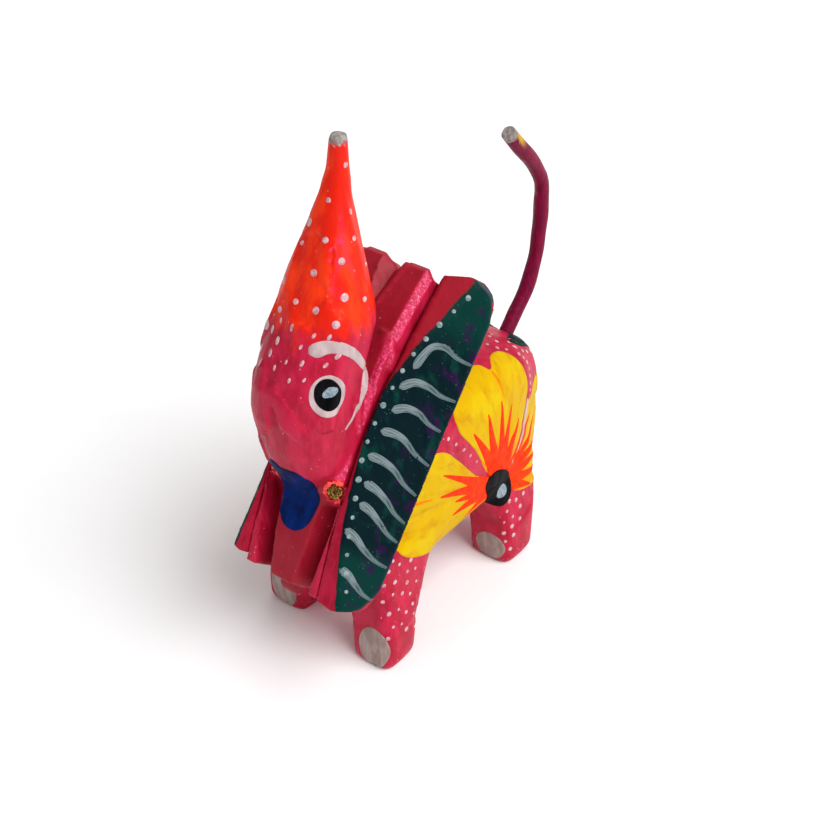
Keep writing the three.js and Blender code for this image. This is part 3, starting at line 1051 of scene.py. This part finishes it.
eye = {
    # the right eye was painted a little further back
    "places": {1: (7.7, -32.5, 59.4), -1: (8.0, -30.2, 59.2)},
    "aims": {1: (0.85, -0.5, 0.15), -1: (0.94, -0.32, 0.12)},
    # width, height, wobble, seed, turn and middle of each oval
    "white": (6.1, 7.2, 0.03, 2, 12),
    "black": (4.4, 5.6, 0.03, 3, 10, (-0.05, 0.3)),
    "glint": (2.9, 1.5, 0.12, 4, 22, (0.2, 0.8)),
}
brow = {
    "bar": [(-1.9, 6.9), (0.6, 7.7), (3.2, 7.2), (5.5, 5.0), (7.8, 1.0)],
    "under": [(8.5, 1.6), (8.5, -1.4), (7.7, -3.9), (5.8, -6.0), (3.0, -7.9)],
}
mouth = {
    "middle": (0, -34, 38),
    "aim": (0.1, -1, -0.05),
    "outline": [
        (-2.6, 7.0), (0.0, 6.6), (2.6, 6.4), (4.4, 3.8), (4.1, 0.2), (3.9, -2.8), (2.6, -6.2), (0.2, -7.8),
        (-2.6, -7.2), (-4.4, -3.6), (-4.6, 1.0), (-4.0, 4.8),
    ],
}

whites, blacks, glints = (bmesh.new() for _ in range(3))
for side in (1, -1):
    board = Sheet(surfaces["head"], eye["places"][side], eye["aims"][side], side=side)
    paintPatch(whites, board, oval(*eye["white"]), 0.08)
    paintPatch(blacks, board, oval(*eye["black"]), 0.15)
    paintPatch(glints, board, oval(*eye["glint"]), 0.21, around=36)
    brushMark(whites, board, brow["bar"], 2.5, 0.12, blunt=0.12, taper=0.7)
    brushMark(whites, board, brow["under"], 2.1, 0.1, blunt=0.6, taper=0.9)
finished("eyeWhitesAndBrows", whites, materials["white"])
finished("eyeBlacks", blacks, materials["black"])
finished("eyeGlints", glints, materials["silver"])

mouthPaint = bmesh.new()
board = Sheet(surfaces["head"], mouth["middle"], mouth["aim"])
paintPatch(mouthPaint, board, mouth["outline"], 0.12, around=96)
finished("mouth", mouthPaint, materials["blue"])
print("face painted")


trunkMarks = {
    "trunkDots": {
        "heights": (70.0, 93.0), "facing": 2, "apart": 3.6, "most": 120,
        "radius": 0.54, "thickness": 0.07, "variation": 0.35, "seed": 6,
    },
    "trunkDashes": {
        "heights": (61.5, 69.0), "facing": -0.45, "apart": 2.3, "most": 46,
        "radius": 0.3, "thickness": 0.06, "variation": 0.3, "stretch": 1.9, "seed": 8,
    },
}
trunkFrom = 45.5  # forwards in the lean, where the trunk's column starts

for name, marks in trunkMarks.items():
    low, high = marks["heights"]

    def onTrunk(point, normal):
        # facing leaves out the sides that look back
        ahead = inHead(point)[1] > trunkFrom * mm
        return low * mm < point.z < high * mm and ahead and normal.y < marks["facing"]

    places = scattered(head.data, onTrunk, marks["apart"], marks["seed"], marks["most"])
    paintDots(name, places, marks, materials["dots"])
    print(name, len(places))


earMarks = {
    "strokes": [
        ((-9.4, 41.3), (-5.6, 46.3), (0.0, 45.2)),
        ((-10.5, 37.6), (-5.8, 39.4), (-0.2, 38.7)),
        ((-10.2, 33.7), (-5.5, 34.8), (-0.6, 33.2)),
        ((-10.6, 30.0), (-6.1, 29.9), (-0.2, 27.2)),
        ((-11.1, 25.6), (-5.8, 24.7), (-0.2, 21.8)),
        ((-9.9, 21.2), (-4.8, 19.4), (-0.2, 16.8)),
        ((-9.2, 17.7), (-4.5, 15.6), (-0.2, 13.4)),
        ((-9.9, 12.9), (-5.2, 10.5), (-0.2, 8.8)),
        ((-8.1, 6.4), (-4.2, 4.4), (-0.3, 2.8)),
    ],
    "strokeWidth": 1.9,
    "edge": [
        (-5.2, 55.2), (-8.2, 49.1), (-10.5, 43.0), (-11.8, 35.2), (-12.0, 26.8), (-11.1, 21.8), (-9.9, 17.0),
        (-8.0, 9.5), (-5.4, 3.0),
    ],
    "edgeDots": 18,
    "right": 0.93,  # the right ear's marks are smaller, closer to this height up the lean
    "level": 12,
}
edgeDots = {"radius": 0.46, "thickness": 0.07, "variation": 0.25, "seed": 12}

strokes = bmesh.new()
earDotPlaces = []
for side, name, shrink in ((1, "leftEar", 1.0), (-1, "rightEar", earMarks["right"])):
    rim = Vector((earReach[name], 0, 0)) + lean["forwards"] * earPaint["edge"] - headShift / mm
    aim = Vector((earPaint["slope"][0], 0, 0)) + lean["forwards"] * earPaint["slope"][1]
    board = Sheet(surfaces[name], rim, aim, up=lean["up"], side=side)
    level = earMarks["level"] * (1 - shrink)
    for start, middle, end in earMarks["strokes"]:
        # each stroke waves a little: down, up and off towards the rear rim
        path = [Vector((a * shrink, level + b * shrink)) for a, b in (start, middle, end)]
        steep = max(path[1].y - path[0].y, 0) * 0.25
        firstBend = path[0].lerp(path[1], 0.5) + Vector((-steep * 0.4, 0.35 + steep))
        lastBend = path[1].lerp(path[2], 0.5) - Vector((0, 0.3))
        wave = [path[0], firstBend, path[1], lastBend, path[2]]
        brushMark(strokes, board, wave, earMarks["strokeWidth"], 0.07, blunt=0.12, taper=0.85)
    edge = [(a * shrink, level + b * shrink) for a, b in earMarks["edge"]]
    for spot in throughPoints(edge, earMarks["edgeDots"]):
        earDotPlaces.append(board.drop(spot.x, spot.y))
finished("earStrokes", strokes, materials["squiggles"])
paintDots("earEdgeDots", earDotPlaces, edgeDots, materials["earDots"])
print("ears painted")


flower = {
    "middle": (13.8, 7.0, 20.0),
    "reach": 27.0,
    "flameRoot": 2.6,
    "flameBow": 0.5,
    "flameWidth": (2.8, 3.6),
    "besideAt": (0.5, 0.7),
    "besideGap": 1.2,
    "seed": 20,
    "heart": [
        (-2.8, 4.6), (0.0, 3.9), (2.5, 1.6), (3.5, -1.4), (2.9, -4.2), (0.6, -5.4), (-1.7, -3.7),
        (-3.6, -0.4), (-4.4, 2.7),
    ],
    "glint": (2.5, 3.1, 0.12, 6, 15, (0.6, -1.8)),
    "seam": [(9.9, 13.6), (8.8, 9.6), (7.0, 6.2), (5.2, 4.0), (3.9, 2.6)],
    "gap": [(-15.0, 20.2), (-12.2, 16.8), (-9.6, 13.4), (-7.4, 10.4)],
    "petals": [
        {
            "aim": (0.85, 0, 0.53),
            "outline": [
                (-3.4, 4.0), (-8.2, 11.2), (-12.4, 16.6), (-13.0, 20.6), (-9.6, 23.4), (-4.6, 25.0),
                (-1.6, 24.6), (-0.2, 22.8), (2.4, 24.4), (6.4, 23.6), (9.0, 19.6), (9.3, 13.0), (7.0, 7.4),
                (3.2, 3.0),
            ],
            "middle": (-1.0, 14.0),
            "flames": [(-8.8, 14.6), (-4.3, 16.0), (-0.2, 16.6), (3.2, 14.4), (6.0, 10.4)],
            "split": [(-0.3, 22.4), (0.2, 19.5), (0.5, 17.0)],
        },
        {
            "aim": (1, 0, 0),
            "outline": [
                (-3.8, 2.6), (-8.6, 8.0), (-13.4, 14.0), (-17.6, 18.2), (-22.4, 18.8), (-26.0, 15.6),
                (-25.8, 11.4), (-29.0, 8.4), (-29.6, 3.8), (-26.0, 0.2), (-19.0, -2.6), (-10.0, -4.6),
                (-3.0, -4.6),
            ],
            "middle": (-14.5, 5.0),
            "flames": [(-17.6, 13.2), (-13.6, 9.8), (-18.4, 8.8), (-13.8, 4.8), (-14.6, 2.2), (-10.0, -1.4)],
            "split": [(-25.4, 11.4), (-23.0, 10.6), (-20.6, 9.8)],
        },
        {
            "aim": (0.8, 0.6, 0),
            "outline": [
                (2.8, 1.6), (5.6, 5.4), (8.6, 11.4), (10.6, 14.8), (14.4, 15.4), (18.0, 12.4), (18.4, 8.2),
                (21.2, 4.6), (20.8, -1.6), (16.4, -5.6), (9.6, -6.4), (3.4, -4.0),
            ],
            "middle": (11.0, 3.6),
            "flames": [(9.8, 9.8), (13.4, 6.8), (12.0, 2.8), (14.4, -0.4), (11.6, -3.4), (7.6, -5.6)],
            "split": [(18.0, 8.2), (16.6, 7.2), (15.2, 6.4)],
        },
    ],
}

petals, flames, rims, hearts, heartGlints, seamLines = (bmesh.new() for _ in range(6))
gapPlaces = []
for side in (1, -1):
    rng = random.Random(flower["seed"] + side)
    for petal in flower["petals"]:
        board = Sheet(surfaces["body"], flower["middle"], petal["aim"], side=side)
        middle, reach = petal["middle"], flower["reach"]
        paintPatch(petals, board, petal["outline"], 0.1, around=150, middle=middle, reach=reach)
        for tip in petal["flames"]:
            # each flame is two strokes: a wide one, and a thinner, paler one beside it
            end = Vector(tip)
            root = end.normalized() * flower["flameRoot"]
            square = Vector((-end.y, end.x)).normalized()
            bow = square * rng.uniform(-flower["flameBow"], flower["flameBow"])
            width = rng.uniform(*flower["flameWidth"])
            path = [root, root.lerp(end, 0.5) + bow, end]
            brushMark(flames, board, path, width, 0.1, blunt=0.3, taper=0.97, lift=0.1)
            beside = end * rng.uniform(*flower["besideAt"])
            beside = beside + square * rng.choice((-1, 1)) * flower["besideGap"]
            path = [root, root.lerp(beside, 0.55), beside]
            brushMark(rims, board, path, 1.2, 0.06, blunt=0.25, taper=0.97, lift=0.08)
        brushMark(rims, board, petal["split"], 1.0, 0.07, blunt=0.3, taper=0.95, lift=0.1)
    board = Sheet(surfaces["body"], flower["middle"], (1, 0, 0), side=side)
    paintPatch(hearts, board, flower["heart"], 0.34)
    paintPatch(heartGlints, board, oval(*flower["glint"]), 0.42, around=36)
    board = Sheet(surfaces["body"], flower["middle"], (0.95, 0.25, 0.1), side=side)
    brushMark(seamLines, board, flower["seam"], 0.9, 0.08, blunt=0.2, taper=0.5, lift=0.14)
    for spot in throughPoints(flower["gap"], 5):
        gapPlaces.append(board.drop(spot.x, spot.y))
finished("petals", petals, materials["petals"])
finished("petalFlames", flames, materials["flames"])
finished("petalShades", rims, materials["rims"])
finished("flowerHearts", hearts, materials["black"])
finished("flowerGlints", heartGlints, materials["silver"])
finished("petalSeams", seamLines, materials["white"])
print("flowers painted")


toenails = [
    # side, middle, the way it looks, width and height
    (1, (11.8, -28.4, 4.5), (0.15, -1, 0), (6.4, 9.2)),
    (-1, (11.0, -27.0, 4.6), (0.15, -1, 0), (6.0, 8.4)),
    (1, (11.6, 7.6, 3.6), (0, -1, 0), (6.4, 6.4)),
    (-1, (11.6, 7.6, 3.6), (0, -1, 0), (6.4, 6.4)),
]
# the nails take a grey-brown copy of white paint, as painted shade
nails = bmesh.new()
for index, (side, middle, aim, size) in enumerate(toenails):
    board = Sheet(surfaces["body"], middle, aim, side=side)
    paintPatch(nails, board, oval(*size, wobble=0.04, seed=index), 0.1)
finished("toenails", nails, materials["nails"])

legDots = {"apart": 2.0, "most": 110, "radius": 0.38, "thickness": 0.06, "variation": 0.3, "seed": 15}


def onLegs(point, normal):
    # the outer side of each leg, in a band below the flower
    x, y, z = point / mm
    front = -29.5 < y < -16 and 7 < z < 23 and y < -17 - (z - 7) * 0.1
    rear = 8 < y < 16 and 3 < z < 14.5 and y < 9.6 + (z - 3) * 0.45
    return abs(normal.x) > 0.6 and abs(x) > 9 and (front or rear)


legPlaces = scattered(torso.data, onLegs, legDots["apart"], legDots["seed"], legDots["most"])
paintDots("legDots", legPlaces, legDots, materials["dots"])
print("feet painted, leg dots:", len(legPlaces))


rump = {
    "patchMiddle": (0, 25.6, 40.6),
    "patchHalf": [
        (0, -1.2), (2.2, 0.0), (4.2, 3.2), (5.6, 6.4), (7.2, 6.8), (8.0, 4.4), (7.4, 0.4), (5.8, -3.2),
        (3.2, -5.8), (0, -6.6),
    ],
    "cluster": {"middle": (4.6, 16.5, 44.5), "radius": 4.2, "apart": 1.9, "most": 26, "seed": 19},
    "ring": {"count": 34, "size": 1.12, "gap": 3},  # dots round the patch, none close to the spine
    "edgeRow": [
        (9.8, 17.3, 42.4), (10.8, 18.8, 39.6), (12.0, 17.9, 37.0), (12.9, 17.4, 33.0), (13.1, 16.6, 28.6),
    ],
}
rowDots = {"radius": 0.36, "thickness": 0.06, "variation": 0.2, "seed": 18}

tailPatch = bmesh.new()
board = Sheet(surfaces["body"], rump["patchMiddle"], (0, 0.55, 0.83))
saddle = rump["patchHalf"] + [(-across, up) for across, up in reversed(rump["patchHalf"][1:-1])]
ring = rump["ring"]
ringSpots = [spot for spot in throughPoints(saddle, ring["count"], closed=True) if abs(spot.x) > ring["gap"]]
paintPatch(tailPatch, board, saddle, 0.1, around=96, middle=(0, -4.0))
finished("tailPatch", tailPatch, materials["darkPatch"])


def onRump(point, normal):
    x, y, z = point / mm
    near = (Vector((abs(x), y, z)) - Vector(cluster["middle"])).length < cluster["radius"]
    return near and normal.z > 0.5


cluster = rump["cluster"]
rumpPlaces = scattered(torso.data, onRump, cluster["apart"], cluster["seed"], cluster["most"]) + gapPlaces
for spot in ringSpots:
    rumpPlaces.append(board.drop(spot.x * ring["size"], spot.y * ring["size"]))
for side in (1, -1):
    for spot in throughPoints(rump["edgeRow"], 12):
        near = Vector((spot.x * side, spot.y, spot.z)) * mm
        rumpPlaces.append(surfaces["body"].find_nearest(near)[:2])
paintDots("rumpDots", rumpPlaces, rowDots, materials["dots"])
bpy.data.objects.remove(dropSource)
print("rump painted")


paper = {"half": 1.5, "tones": (shade(250, 250, 251), shade(254, 254, 254)), "rough": 0.85}


def makeFloor():
    bm = bmesh.new()
    bmesh.ops.create_grid(bm, x_segments=8, y_segments=8, size=paper["half"])
    floor = linked("floor", meshFrom(bm, "floor"))
    material = bpy.data.materials.new("palePaper")
    material.use_nodes = True
    tree = material.node_tree
    tree.nodes.clear()
    coordinates = add(tree, "ShaderNodeTexCoord").outputs["Object"]
    fibre = mottle(tree, coordinates, 60, (1, 1, 1), 4)
    colour = blend(tree, fibre, *paper["tones"])
    surface = add(tree, "ShaderNodeBsdfPrincipled", {"Base Color": colour, "Roughness": paper["rough"]})
    add(tree, "ShaderNodeOutputMaterial", {"Surface": surface.outputs[0]})
    floor.data.materials.append(material)


studio = {
    "key": {"from": (1.05, 0.06, 1.28), "size": 1.4, "power": 30.5},
    "fill": {"from": (-0.40, -1.10, 0.64), "size": 1.0, "power": 0.8},
    "back": {"from": (-0.50, 0.90, 0.76), "size": 0.8, "power": 1.9},
    "sky": 0.42,
    "aim": (0, 0, 0.04),
}


def areaLight(name, light):
    data = bpy.data.lights.new(name, "AREA")
    data.size = light["size"]
    data.energy = light["power"]
    made = linked(name, data)
    made.location = light["from"]
    made.rotation_euler = (Vector(studio["aim"]) - made.location).to_track_quat("-Z", "Y").to_euler()


camera = {
    "azimuth": 38,
    "elevation": 36,
    "distance": 0.235,
    "aim": (0.00484, -0.00772, 0.04085),
    "lens": 58.7,
}


def makeCamera():
    azimuth = math.radians(camera["azimuth"])
    elevation = math.radians(camera["elevation"])
    level = math.cos(elevation)
    away = Vector((math.sin(azimuth) * level, -math.cos(azimuth) * level, math.sin(elevation)))
    data = bpy.data.cameras.new("camera")
    data.lens = camera["lens"]
    data.sensor_width = 36
    data.clip_start = 0.01
    made = linked("camera", data)
    made.location = Vector(camera["aim"]) + away * camera["distance"]
    made.rotation_euler = (math.pi / 2 - elevation, 0, azimuth)
    bpy.context.scene.camera = made


makeFloor()
for name in ("key", "fill", "back"):
    areaLight(name + "Light", studio[name])
world = bpy.data.worlds.new("studioWorld")
world.use_nodes = True
background = world.node_tree.nodes["Background"].inputs
background["Color"].default_value = (1, 1, 1, 1)
background["Strength"].default_value = studio["sky"]
bpy.context.scene.world = world
bpy.context.scene.view_settings.view_transform = "Standard"
makeCamera()
print("studio ready")
